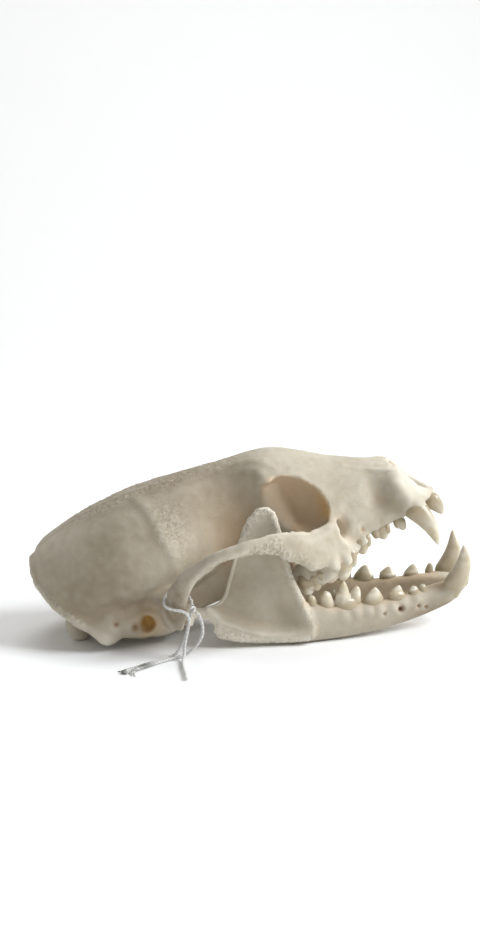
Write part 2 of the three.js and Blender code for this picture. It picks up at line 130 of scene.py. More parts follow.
def remesh(piece, voxel):
    """One even skin round everything in the piece."""
    modifier = piece.modifiers.new("skin", "REMESH")
    modifier.mode = "VOXEL"
    modifier.voxel_size = voxel * MM
    shaped = bpy.data.meshes.new_from_object(piece.evaluated_get(bpy.context.evaluated_depsgraph_get()))
    piece.modifiers.clear()
    old = piece.data
    piece.data = shaped
    shaped.name = piece.name
    bpy.data.meshes.remove(old)
    shaped.shade_smooth()


def edge_ends(mesh):
    """The two points that each edge joins."""
    flat = np.empty(len(mesh.edges) * 2, dtype=np.int64)
    mesh.edges.foreach_get("vertices", flat)
    return flat.reshape(-1, 2)


def relaxed(points, edges, rounds, amount):
    """Each point drifts towards the middle of its neighbours; amount is one number or one per point."""
    count = len(points)
    a, b = edges.T
    neighbours = np.bincount(a, minlength=count) + np.bincount(b, minlength=count)
    amount = np.broadcast_to(amount, count)[:, None]
    for _ in range(rounds):
        total = np.column_stack([
            np.bincount(a, points[b, k], count) + np.bincount(b, points[a, k], count) for k in range(3)
        ])
        points = points + amount * (total / neighbours[:, None] - points)
    return points


def outward(piece):
    """The direction in which each point of the skin faces."""
    flat = np.empty(len(piece.data.vertices) * 3)
    piece.data.vertex_normals.foreach_get("vector", flat)
    return flat.reshape(-1, 3)


def distance_to_line(points, line):
    """Distance of each point from a line through the given corners, and how far along the line it is."""
    line = np.asarray(line, float)
    best = np.full(len(points), np.inf)
    along = np.zeros(len(points))
    for i in range(len(line) - 1):
        step = line[i + 1] - line[i]
        share = np.clip((points - line[i]) @ step / (step @ step), 0, 1)
        gap = np.linalg.norm(points - line[i] - share[:, None] * step, axis=1)
        closer = gap < best
        best[closer] = gap[closer]
        along[closer] = (i + share[closer]) / (len(line) - 1)
    return best, along


def bump(distance, width):
    """1 on a line or point, fading smoothly to 0 over about the width."""
    return np.exp(-((distance / width) ** 2))


def ramp(value, start, end, least=0):
    """Rises evenly from the least to 1 as the value goes from start to end."""
    return np.clip((value - start) / (end - start), least, 1)


def spot(place, centre, radii):
    """1 at the centre, fading smoothly to 0 outside an ellipsoid of about the given radii."""
    return bump(np.linalg.norm((place - centre) / radii, axis=1), 1)


def profile(stations):
    """A smooth value along a line, through a few (position, value) stations."""
    xs, ys = np.array(stations, float).T
    slopes = np.gradient(ys, xs) if len(xs) < 3 else np.concatenate((
        [(ys[1] - ys[0]) / (xs[1] - xs[0])],
        (ys[2:] - ys[:-2]) / (xs[2:] - xs[:-2]),
        [(ys[-1] - ys[-2]) / (xs[-1] - xs[-2])],
    ))

    def value(x):
        x = np.clip(x, xs[0], xs[-1])
        i = np.clip(np.searchsorted(xs, x, side="right") - 1, 0, len(xs) - 2)
        span = xs[i + 1] - xs[i]
        t = (x - xs[i]) / span
        blend = (3 - 2 * t) * t * t
        return (
            ys[i] + (ys[i + 1] - ys[i]) * blend
            + t * (1 - t) ** 2 * span * slopes[i] - t * t * (1 - t) * span * slopes[i + 1]
        )

    return value


# The braincase and snout, from the nape forwards: place along the skull, top, bottom, half width,
# height of the widest line, and the roundness above and below it.
SHELL = [
    (-6.6, 19.6, 13.6, 8, 16, 2, 2),
    (-5, 22, 9.6, 12.6, 12, 2, 1.5),
    (-2.4, 23.6, 3, 16.4, 8.6, 2, 1.5),
    (1, 24.6, -4, 18.8, 5.6, 2, 1.9),
    (6, 25.8, -5.2, 20.6, 5, 2, 2.2),
    (14, 27.2, -5.4, 21.4, 6, 2, 2.2),
    (23, 28, -5.6, 21.2, 8, 2.05, 2.1),
    (31, 28, -6.4, 19.2, 10, 2.05, 1.9),
    (39, 27.6, -6.2, 15.6, 12, 2, 1.7),
    (47, 26.9, -5, 12.2, 14.5, 2, 1.5),
    (55, 26.1, -4.8, 10.6, 18, 2.2, 1.5),
    (59, 25.7, -5.4, 12, 18, 2.4, 1.7),
    (63.6, 25.2, -6.6, 15, 14, 2.3, 2.2),
    (68, 24.2, -7.6, 15.8, 7, 2.1, 2.8),
    (74, 21.2, -7, 16.4, 1, 1.9, 3),
    (80, 17.4, -6.4, 14.4, -1, 1.85, 3),
    (86, 14.4, -5.9, 12.6, -1.2, 1.8, 3.4),
    (91, 12.1, -5.7, 11.5, -1.4, 1.85, 3.4),
    (96.3, 10.1, -5.7, 11.6, -1.4, 1.95, 3.2),
    (99.4, 7, -5.6, 10.6, -1.8, 2.1, 3),
    (102.4, 1.7, -5, 8.5, -2.4, 2.2, 2.6),
    (105, -2.6, -5.2, 5.8, -4, 2.2, 2.4),
    (106, -3.8, -5, 3.4, -4.4, 2, 2),
]
SHELL_REACH = 1.1
SHELL_BLEND = 0.4


def rounded_shell(points):
    """Points close to the flat faces of the braincase and snout go to the round surface they stand for."""
    x, y, z = points.T
    top, bottom, half, widest, above, below = [
        profile([(s[0], s[k]) for s in SHELL])(x) for k in range(1, 7)
    ]
    upper = z > widest
    reach = np.where(upper, top - widest, widest - bottom)
    power = np.where(upper, above, below)
    ratio = (np.abs(y / half) ** power + np.abs((z - widest) / reach) ** power) ** (1 / power)
    size = np.hypot(y, z - widest)
    gap = size * (1 / np.maximum(ratio, 1e-3) - 1)
    weight = np.clip((SHELL_REACH - np.abs(gap)) / SHELL_BLEND, 0, 1)
    weight *= (x > -4) & (x < 103)
    scale = 1 + weight * (1 / np.maximum(ratio, 1e-3) - 1)
    return np.column_stack((x, y * scale, widest + (z - widest) * scale))


cranium = solid_copy("cranium", "cranium_bone")
points = level(read_points(cranium.data))
# The teeth are pieces of their own, so the solid's crowns sink into the gum line here.
TEETH_REAR = 60.4
TEETH_OUTSIDE = 19.5
gum_line = profile([
    (58, -10), (66, -11.4), (72, -10.8), (77.5, -9.6), (80.5, -7.6), (84, -6.6), (90, -6.2),
    (96, -5), (108, -4.6),
])
x, y, z = points.T
crowns = (x > TEETH_REAR) & (z < gum_line(x)) & (np.abs(y) < TEETH_OUTSIDE)
points[crowns, 2] = gum_line(x[crowns])
write_points(cranium.data, tilted(points))
remesh(cranium, CRANIUM_VOXEL)

# The skin drifts until the solid's facets are gone: least on the thin arch, further where the lumps
# round the ear flow into one another, and furthest where the orbit opens into the temple.
TEMPLE = ((61, 0, 9), (6.4, 1, 8.4))
BROW_CORNER = ((62.6, 13, 20), (5, 5, 3.4))
edges = edge_ends(cranium.data)
points = level(read_points(cranium.data))
points = rounded_shell(relaxed(points, edges, 4, 0.5))
x, y, z = points.T
is_arch = ramp(np.abs(y), 21.5, 23.5)
is_base = ramp(z, 4, 1) * ramp(x, 26, 23) * ramp(x, 3.4, 7.4)
is_temple = (spot(points * (1, 0, 1), *TEMPLE) > 0.3) * ramp(np.abs(y), 18, 16) * ramp(z, 17, 15)
points = relaxed(points, edges, 9, 0.6 - 0.1 * is_arch)
points = relaxed(points, edges, 26, 0.6 * is_base)
points = relaxed(points, edges, 150, 0.8 * is_temple)
is_brow = spot(np.abs(points), *BROW_CORNER) > 0.4
points = relaxed(points, edges, 22, 0.6 * is_brow)

# What the muscles and vessels leave on the bone, given for the left side and worked on both.
NUCHAL_CREST = [
    (7.6, 21.4, -4.6), (4, 20.8, 0), (0.4, 18.9, 5), (-3.2, 15.4, 10.6), (-5.8, 9.6, 15.6), (-6.6, 0, 20),
]
TEMPORAL_LINE = [
    (63.2, 13, 22), (61.4, 11.8, 23.6), (58.4, 10.2, 25), (53.8, 8.6, 26), (47.1, 7, 27),
    (41.9, 6, 27.6), (33.2, 4.8, 28), (24, 3.8, 28), (12, 3, 26.6), (2, 2.4, 24.4), (-4, 1.6, 21.6),
]
ORBIT_RIM = [
    (58, 28.8, 8.2), (62.5, 26.8, 6.6), (66.7, 24, 4.6), (69.7, 22, 3.2), (72.5, 20, 2.8), (75.8, 18, 3.4),
    (77.8, 16.4, 5), (77.6, 15.8, 7.4), (76.4, 15.4, 9.6), (75, 15, 12), (73.8, 14.8, 14.2),
    (72.2, 14.4, 16.4), (70, 14.3, 18), (67, 14.4, 18.9),
]
ARCH_RIDGE = [
    (30.4, 26.4, -2.4), (33, 28.6, 0.6), (37, 30.6, 4.4), (41.6, 31.8, 6.6), (46, 32, 7.2), (52, 31.8, 6.2),
]
MUSCLE_RIDGE = [
    (28.4, 10, 27), (31, 14.6, 23.8), (32, 17.6, 19.6), (32.5, 19, 14.7), (33.6, 19.2, 9), (33, 19.6, 4),
]
SNOUT_EDGE = [(80, 15, 4.4), (84.6, 13.6, 7.4), (88, 11.4, 9.6), (93, 8.6, 9.4), (98, 7.6, 6.4)]
CANINE_ROOT = [(97.4, 11, -1.4), (96.4, 10.6, 1), (96, 10, 4)]
NOSE_SEAM = [(104, 4.2, -0.6), (100.4, 6, 3), (96, 6.8, 7), (91, 6.6, 10), (85, 5.6, 13.4)]
NERVE_RIM = [(79.8, 15.6, 2.6), (77.6, 16.6, 1), (76, 17.2, -1.6), (76.4, 17.2, -3.6), (78, 16.4, -4.6)]
CHEEK_EDGE = [(56, 30.4, 3.2), (60, 28.6, 0.8), (63.4, 26, -1.6), (66.4, 22.4, -5), (67.6, 19.6, -8)]
SNOUT_CREASE = [(87, 12.4, 9), (86.9, 13, 5.4), (87.4, 13.4, 2)]
# Each ridge, with its height and width.
RIDGES = [
    (ORBIT_RIM, 0.45, 0.9), (ARCH_RIDGE, 0.4, 0.8), (MUSCLE_RIDGE, 0.55, 1.8), (SNOUT_EDGE, 0.5, 1.6),
    (CANINE_ROOT, 0.8, 2.2), (SNOUT_CREASE, 0.5, 0.9), (NOSE_SEAM, 0.35, 0.8), (NERVE_RIM, 0.6, 0.8),
    (CHEEK_EDGE, 0.5, 1),
]
# Round swellings: centre and radius.
TOOTH_ROOTS = [
    ((76, 16.4, -7.4), 1.5), ((71.8, 18.4, -7.6), 2), ((67, 18.2, -9), 1.4), ((63.6, 17.4, -9.4), 1.4),
    ((82.6, 13.4, -5.4), 1.3), ((79.4, 14.4, -6), 1.3), ((89.4, 11.6, -5), 1.2), ((86.4, 12.2, -5), 1.2),
]
LOWER_LUMPS = [
    ((7.4, 19.6, -5.4), 3.2), ((-1.8, 8.4, -3), 3.4), ((15.6, 17, -7), 3.2), ((22, 12.6, -9.6), 4),
]
# The sockets' edge hangs below the palate on the outer side, by so much along the skull.
GUM_EDGE = [
    (60.5, 16.4, -9.6), (65, 17.8, -9.8), (72, 17.2, -8.6), (77.4, 14.8, -7.2), (80.4, 13.8, -5.6),
    (84, 12.6, -4.8), (90, 11.4, -4.4), (94, 10.8, -4.2),
]
GUM_HANG = [(60, 3), (74, 3.2), (79, 2.4), (83, 1.7), (96, 1.6)]
# Dents: centre, radii along x, y and z, and depth.
DENTS = [
    ((89.8, 12.4, 5), (2.4, 4, 3.8), 1.2),  # beside the nose
    ((91.4, 12.2, 0.8), (3.6, 4, 3), 1.1),
    ((94.4, 11.8, -2.4), (2.6, 3, 2.4), 0.6),
    ((79.2, 15.6, 0.4), (1.5, 2.4, 2.2), 1),  # the nerve's hole, drawn out upwards
    ((56.4, 10.6, 19.6), (6.4, 4.4, 4.4), 1.1),  # under the brow's rear corner
    ((50, 9, 21.6), (7, 6, 4.6), 1),
    ((46.6, 11, 12), (6, 6, 9), 1.1),  # the waist
    ((40, 15, 13), (4.6, 6, 8), 0.8),  # in front of the muscle ridge
    ((26.6, 19, 16), (4.6, 7, 8), 0.5),  # and behind it
    ((22, 20.6, -0.6), (8, 3, 2.2), 0.9),  # over the ear
    ((12.6, 21, 2), (5, 4, 4), 0.5),
    ((70, 13.6, 21), (5, 5, 2.6), 0.5),
    ((3.4, 20, 12), (5, 5, 7), 0.4),
    ((1.8, 18.4, -2.4), (2.8, 4, 2.4), 1.3),  # behind the mastoid
    ((74.6, 17.6, -7.4), (1.1, 2, 2.4), 0.7),  # between the roots of the carnassial
    ((61.6, 26, -4), (4, 4, 3), 0.4),
]


def bulges(place, spots):
    """The strongest of several round spots at each point."""
    return np.max([
        bump(np.linalg.norm(place - centre, axis=1), radius) for centre, radius in spots
    ], axis=0)


def ridge(place, line, width):
    """1 along a line, fading smoothly to 0 over about the width."""
    return bump(distance_to_line(place, line)[0], width)


folded = points.copy()
folded[:, 1] = np.abs(folded[:, 1])
x, y, z = folded.T
write_points(cranium.data, tilted(points))
facing = outward(cranium)
nuchal = ridge(folded, NUCHAL_CREST, 1.5)
temporal, _ = distance_to_line(folded, TEMPORAL_LINE)
fades = ramp(x, 20, 60, 0.35) * ramp(x, 66, 58, 0.4)
rise = 0.9 * nuchal
rise += (0.75 * bump(temporal, 1) - 0.5 * bump(temporal - 2.4, 1.6) * (z < 25)) * fades
for line, height, width in RIDGES:
    rise += height * ridge(folded, line, width)
rise += 0.6 * bulges(folded, TOOTH_ROOTS)
for centre, radii, depth in DENTS:
    rise -= depth * spot(folded, centre, radii)
points = points + level(facing * rise[:, None] + CRANIUM_AT)
points[:, 2] -= profile(GUM_HANG)(x) * ridge(folded, GUM_EDGE, 2.4) + 1.1 * bulges(folded, LOWER_LUMPS)

# Small holes for vessels, sunk straight into the bone.
VESSEL_HOLES = [
    ((12.1, 21.8, -1.7), 0.6), ((16.5, 20.6, -4.8), 1), ((86.2, 8.6, 12.7), 0.45),
    ((81.4, 14.4, 4.4), 0.45), ((83.2, 13.6, -3.1), 0.5), ((84.6, 12.4, 10.8), 0.4),
    ((70.6, 13.4, 15), 0.5), ((88.9, 12.6, -3), 0.5),
]
HOLE_DEPTH = 1.2
write_points(cranium.data, tilted(points))
facing = outward(cranium)
pits = bulges(folded, VESSEL_HOLES)
points = points - level(facing * (HOLE_DEPTH * pits)[:, None] + CRANIUM_AT)
points = relaxed(points, edges, 2, 0.4)
points = relaxed(points, edges, 8, 0.5 * is_base)


def lumps(place, size, seed):
    """Soft noise in the skin, from -1 to 1, with lumps of about the given size."""
    return np.array([noise.noise(Vector(p) / size + Vector((seed, 0, 0))) for p in place])


# Where the chewing muscles held, the surface is grainy; the plates of the nose end in torn streaks.
MUSCLE_FIELD = ((35.5, 16, 18), (4, 8, 9))
BROW_GRAIN = ((64, 13, 21), (4.4, 4, 3))
GRAIN_SIZE = 0.8
SWELL_SIZE = 2.6
STREAK_SIZE = 0.9
on_arch = ramp(y, 26, 28) * ramp(z, 7.4, 5) * (x < 62) * ramp(x, 38, 44, 0.15)
band = ramp(z, 24.6, 26.2) * (x < 62) * ramp(y, 9, 7)
rough = on_arch + 0.75 * spot(folded, *MUSCLE_FIELD) + 0.7 * band + 0.096 * spot(folded, *BROW_GRAIN)
rough += 0.7 * ridge(folded, CHEEK_EDGE, 2.4) + 0.6 * nuchal * ramp(z, -1, 3)
rough = np.clip(rough, 0, 1)
streaks = ramp(x, 88, 94) * ramp(z, 2, 6) * (y < 8)
write_points(cranium.data, tilted(points))
facing = outward(cranium)
lift = 0.36 * rough * lumps(points, GRAIN_SIZE, 0) + 0.12 * lumps(points, SWELL_SIZE, 40)
lift += 0.3 * streaks * lumps(points * (0.3, 1, 1), STREAK_SIZE, 80)
points = tilted(points + level(facing * lift[:, None] + CRANIUM_AT))
points[:, 2] = np.maximum(points[:, 2], 0)
write_points(cranium.data, points)


def paint(piece, name, values):
    """A number on each point of the skin, which the bone's material reads."""
    layer = piece.data.attributes.new(name, "FLOAT", "POINT")
    layer.data.foreach_set("value", np.clip(values, 0, 1))


def hollowness(piece, rounds):
    """How far each point lies inside the general surface round it, in millimetres."""
    skin = read_points(piece.data)
    return np.einsum("ij,ij->i", outward(piece), relaxed(skin, edge_ends(piece.data), rounds, 0.6) - skin)


# The places that differ in colour: centre and radii.
PATCHES = {
    "orbit_front": ((76, 13.6, 5.6), (3, 4, 5)),
    "orbit_rear": ((62.6, 12.4, 13), (3, 4, 6)),
    "ear": ((19.4, 14, -5.4), (3.2, 5, 3.2)),
    "over_ear": ((20, 20, 0), (6, 4, 2.6)),
    "socket": ((29, 17, -4), (5, 6, 3.4)),
    "waist": ((50, 9, 6), (9, 9, 13)),
    "nerve_hole": ((77, 14, -1), (3, 2.6, 3.4)),
    "flank": ((12, 20, 6), (19, 14, 13)),
    "arch_foot": ((29.4, 26.6, -1), (4, 4, 6)),
    "snout_hollow": ((91.4, 12, 0), (4.4, 4, 4.4)),
    "temple": ((38, 8, 22), (18, 14, 8)),
    "temple_front": ((57, 10, 15), (4, 8, 6)),
}
patch = {name: spot(folded, *place) for name, place in PATCHES.items()}

# The orbit is an ellipsoid that slopes forwards and down.
ORBIT_AT = (68, 15.8, 9.8)
ORBIT_RADII = (11.2, 9.2, 8.4)
ORBIT_SLOPE = math.radians(53)
orbit_x, orbit_y, orbit_z = (folded - ORBIT_AT).T
orbit_depth = 1 - np.linalg.norm(np.column_stack((
    orbit_x * math.cos(ORBIT_SLOPE) - orbit_z * math.sin(ORBIT_SLOPE),
    orbit_y,
    orbit_x * math.sin(ORBIT_SLOPE) + orbit_z * math.cos(ORBIT_SLOPE),
)) / ORBIT_RADII, axis=1)
in_orbit = np.clip(orbit_depth * 9, 0, 1) * ramp(y, 17, 15.5) * ramp(x, 56, 70)
from_nose = np.linalg.norm((folded - (92, 0, 3.6)) / (1.2, 0.9, 0.8), axis=1)
in_nose = ramp(from_nose, 9, 6) * (y < 6.2)
underside_shade = ramp(z, -3.4, -6.4) * (x < 60) * (y < 11)
hollow = hollowness(cranium, 8)
groove_shade = np.clip(hollow * 3, 0, 1)

# Tan to brown: in the orbit, the ear, the socket, the nose and the temple's waist it is partly the
# bone's own staining and partly painted shade in these hollows; in every groove, on the underside
# and in the small holes it is painted shade.
stain = (0.95 - 0.3 * ramp(x, 66, 71)) * in_orbit + 0.9 * patch["ear"] + 0.55 * patch["socket"]
stain += 0.5 * in_nose + 0.2 * underside_shade + 0.45 * groove_shade
stain = np.maximum(stain, 0.7 * patch["waist"]) + 0.45 * patch["nerve_hole"]
paint(cranium, "stain", stain + 0.9 * pits)
# Painted shade: dark brown in the small holes, and a little over the ear and at the orbit's rear.
paint(cranium, "deep", 1.1 * pits + 0.22 * patch["over_ear"] + 0.16 * patch["orbit_rear"])
# Greyer: the low rear flank of the braincase, partly because the thin bone is a little see-through and
# partly as painted shade; the arch's root and top, the snout's hollow, the temple and the band along
# the top behind the brow, as painted shade.
grey = 0.85 * patch["flank"] + 1.25 * patch["arch_foot"] + 0.5 * patch["snout_hollow"]
grey += 0.6 * (patch["temple"] - 0.8 * patch["temple_front"])
grey += 0.35 * ramp(y, 24, 27) + 0.34 * ramp(z, 24, 26) * ramp(x, 72, 64)
paint(cranium, "grey", grey)
# Raised edges are paler, partly from wear and partly as painted light, and a few bulges, mostly ones
# that lie in shade, get painted light. The ear's opening is tinted orange-yellow, and the orbit's front
# has a painted glow, as of light shining through its thin wall.
PAINTED_LIGHT_SPOTS = [((101, 7, 3), 6), ((23.6, 15, -8), 5), ((8, 19, -4), 3.4), ((-2, 8, -3), 4)]
worn_and_lit_edges = np.clip(-hollow * 2.6, 0, 0.8) * (1 - in_orbit) * ramp(z, 25, 22, 0.2)
paint(cranium, "pale", worn_and_lit_edges + 0.9 * bulges(folded, PAINTED_LIGHT_SPOTS))
paint(cranium, "amber", 0.9 * patch["ear"] + 0.55 * patch["orbit_front"] * in_orbit)
paint(cranium, "porous", rough)


def to_linear(hex_colour):
    """An sRGB hex colour as the linear values that a material takes."""
    channels = [int(hex_colour[i:i + 2], 16) / 255 for i in (1, 3, 5)]
    return tuple(c / 12.92 if c <= 0.04045 else ((c + 0.055) / 1.055) ** 2.4 for c in channels) + (1,)


def add_node(tree, kind, settings=(), inputs=(), links=()):
    """Adds a node, with its settings, the values of its inputs, and what its inputs are linked to."""
    node = tree.nodes.new(kind)
    for key, value in dict(settings).items():
        setattr(node, key, value)
    for key, value in dict(inputs).items():
        node.inputs[key].default_value = value
    for key, socket in dict(links).items():
        tree.links.new(socket, node.inputs[key])
    return node


def per_metre(millimetres):
    """A pattern's scale, from the size of one of its features."""
    return 1 / (millimetres * MM)


def bare_material(name):
    """A new material, with its tree, its shader and the place on the object that patterns follow."""
    material = bpy.data.materials.new(name)
    material.use_nodes = True
    tree = material.node_tree
    shader = tree.nodes["Principled BSDF"]
    place = add_node(tree, "ShaderNodeTexCoord").outputs["Object"]
    return material, tree, shader, place


# Dry bone, boiled and bleached: matt ivory, clouded over centimetres, with fine pores that show as grey
# grain where muscles held. The hollows are tan to brown, partly from fat and soil that stayed in them
# and partly as painted shade; edges and some bulges are paler, partly from wear and partly as painted
# light. Real pores are about 0.2 mm wide, and are drawn coarser so that they show.
bone, tree, shader, place = bare_material("dry_bleached_bone")
shader.inputs["IOR"].default_value = 1.5
shader.inputs["Subsurface Weight"].default_value = 0.12
shader.inputs["Subsurface Radius"].default_value = (1, 0.72, 0.45)
shader.inputs["Subsurface Scale"].default_value = 1.2 * MM
shader.inputs["Specular IOR Level"].default_value = 0.42
painted = {
    name: add_node(tree, "ShaderNodeAttribute", {"attribute_name": name}).outputs["Fac"]
    for name in ("stain", "deep", "grey", "pale", "amber", "porous")
}
clouds = add_node(
    tree, "ShaderNodeTexNoise", inputs={"Scale": per_metre(16), "Detail": 3, "Roughness": 0.55},
    links={"Vector": place},
).outputs["Fac"]
cloud_colour = add_node(tree, "ShaderNodeValToRGB", links={"Fac": clouds})
cloud_colour.color_ramp.elements[0].position = 0.34
cloud_colour.color_ramp.elements[0].color = to_linear("#aba18c")
cloud_colour.color_ramp.elements[1].position = 0.66
cloud_colour.color_ramp.elements[1].color = to_linear("#c2baa8")
mottle = add_node(
    tree, "ShaderNodeTexNoise", inputs={"Scale": per_metre(1.6), "Detail": 4, "Roughness": 0.65},
    links={"Vector": place},
).outputs["Fac"]
mottled = add_node(
    tree, "ShaderNodeMix", {"data_type": "RGBA", "blend_type": "MULTIPLY"},
    links={
        "Factor": add_node(
            tree, "ShaderNodeMapRange", inputs={"From Min": 0.5, "From Max": 0.85, "To Max": 0.3},
            links={"Value": mottle},
        ).outputs["Result"],
        "A": cloud_colour.outputs["Color"],
    },
)
mottled.inputs["B"].default_value = to_linear("#c9b99c")
stain_and_shade_cloud = add_node(
    tree, "ShaderNodeMath", {"operation": "MULTIPLY"},
    links={
        0: painted["stain"],
        1: add_node(
            tree, "ShaderNodeMapRange",
            inputs={"From Min": 0.25, "From Max": 0.75, "To Min": 0.85, "To Max": 1.05},
            links={"Value": mottle},
        ).outputs["Result"],
    },
).outputs["Value"]
pores = add_node(
    tree, "ShaderNodeTexVoronoi", {"feature": "F1"}, inputs={"Scale": per_metre(0.55), "Randomness": 1},
    links={"Vector": place},
).outputs["Distance"]
pore_depth = add_node(
    tree, "ShaderNodeMapRange", inputs={"From Min": 0.05, "From Max": 0.34, "To Min": 1, "To Max": 0},
    links={"Value": pores},
).outputs["Result"]
pore_seen = add_node(
    tree, "ShaderNodeMath", {"operation": "MULTIPLY"}, links={0: pore_depth, 1: painted["porous"]},
).outputs["Value"]
colour = mottled.outputs["Result"]
# The painted numbers on the skin go into the colour here: grey and dark brown are painted shade, pale is
# partly wear and partly painted light, tan is partly staining and partly painted shade, and the
# orange-yellow is partly a painted glow.
for amount, blend, tone in [
    (painted["grey"], "MIX", "#887a65"),
    (painted["pale"], "MIX", "#d6cfbf"),
    (stain_and_shade_cloud, "MIX", "#c8ab88"),
    (painted["amber"], "MIX", "#c9a050"),
    (painted["deep"], "MIX", "#5a3a1c"),
    (pore_seen, "MULTIPLY", "#8f826c"),
]:
    mixed = add_node(
        tree, "ShaderNodeMix", {"data_type": "RGBA", "blend_type": blend},
        links={"Factor": amount, "A": colour},
    )
    mixed.inputs["B"].default_value = to_linear(tone)
    colour = mixed.outputs["Result"]
tree.links.new(colour, shader.inputs["Base Color"])
tree.links.new(
    add_node(
        tree, "ShaderNodeMapRange", inputs={"To Min": 0.5, "To Max": 0.72}, links={"Value": mottle},
    ).outputs["Result"],
    shader.inputs["Roughness"],
)
grain = add_node(
    tree, "ShaderNodeTexNoise", inputs={"Scale": per_metre(0.5), "Detail": 3, "Roughness": 0.6},
    links={"Vector": place},
).outputs["Fac"]
fine_bump = add_node(
    tree, "ShaderNodeBump", inputs={"Strength": 0.22, "Distance": 0.12 * MM}, links={"Height": grain},
)
swell_bump = add_node(
    tree, "ShaderNodeBump", inputs={"Strength": 0.35, "Distance": 0.35 * MM},
    links={"Height": mottle, "Normal": fine_bump.outputs["Normal"]},
)
pore_bump = add_node(
    tree, "ShaderNodeBump", {"invert": True}, inputs={"Strength": 0.8, "Distance": 0.25 * MM},
    links={"Height": pore_seen, "Normal": swell_bump.outputs["Normal"]},
)
tree.links.new(pore_bump.outputs["Normal"], shader.inputs["Normal"])

cranium.data.materials.append(bone)
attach(cranium, "root")
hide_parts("cranium")


# ---- Lower jaws -------------------------------------------------------------------------------------
# Two slender bones that meet at the chin, of the same dry bone, each with a high thin plate behind for
# the chewing muscle, a hooked heel and a roller that fits the skull's socket.
JAWS_AT = np.array((-3.25, 0, 0.8))
JAW_VOXEL = 0.42
JAW_TEETH_REAR = 17.8
PLATE_RIDGE = [
    (9.8, 21, 36), (11, 21, 30), (12.3, 21, 24.5), (14.5, 21, 17.1), (17.2, 20.6, 10.4), (19.9, 20, 4.4),
]
LOWER_RIDGE = [
    (-8.5, 21, 10.6), (-4.7, 21, 6.8), (0.8, 21, 4.4), (6.3, 21, 3), (11.9, 20.6, 2.6), (19, 20, 2.8),
]
PLATE_TIP = [(-1.6, 21, 27), (-0.4, 21, 29.6), (1.6, 21, 33), (4, 21, 36.6), (7.2, 21, 38), (9.9, 21, 37.2)]
JAW_ROOTS = [
    (24, 16.8, 7), (28.4, 16.6, 6), (32, 16, 7), (35.6, 15, 6.8), (38.6, 14.2, 6.8), (42.6, 13, 7),
    (45.6, 12, 7.6), (49.6, 10.6, 8.8),
]
MUSCLE_PIT = ((11.4, 20, 8.4), (4, 4, 4.6))
CHIN = ((59.6, 8.4, 8.8), (4, 3, 4))
# The nerve's holes: place along the jaw, height and radius. The first is the largest.
JAW_HOLES = [(44.8, 6.4, 0.7), (40, 5.6, 0.32), (49.9, 6.6, 0.36), (52.1, 6, 0.36)]
JAW_HOLE_DEPTH = 1.5
jaw_gum = profile([
    (14, 12.2), (21, 10.6), (25, 9), (33, 9.4), (40, 9.2), (47, 10.4), (53, 11.4), (58, 12), (65, 11.6),
])


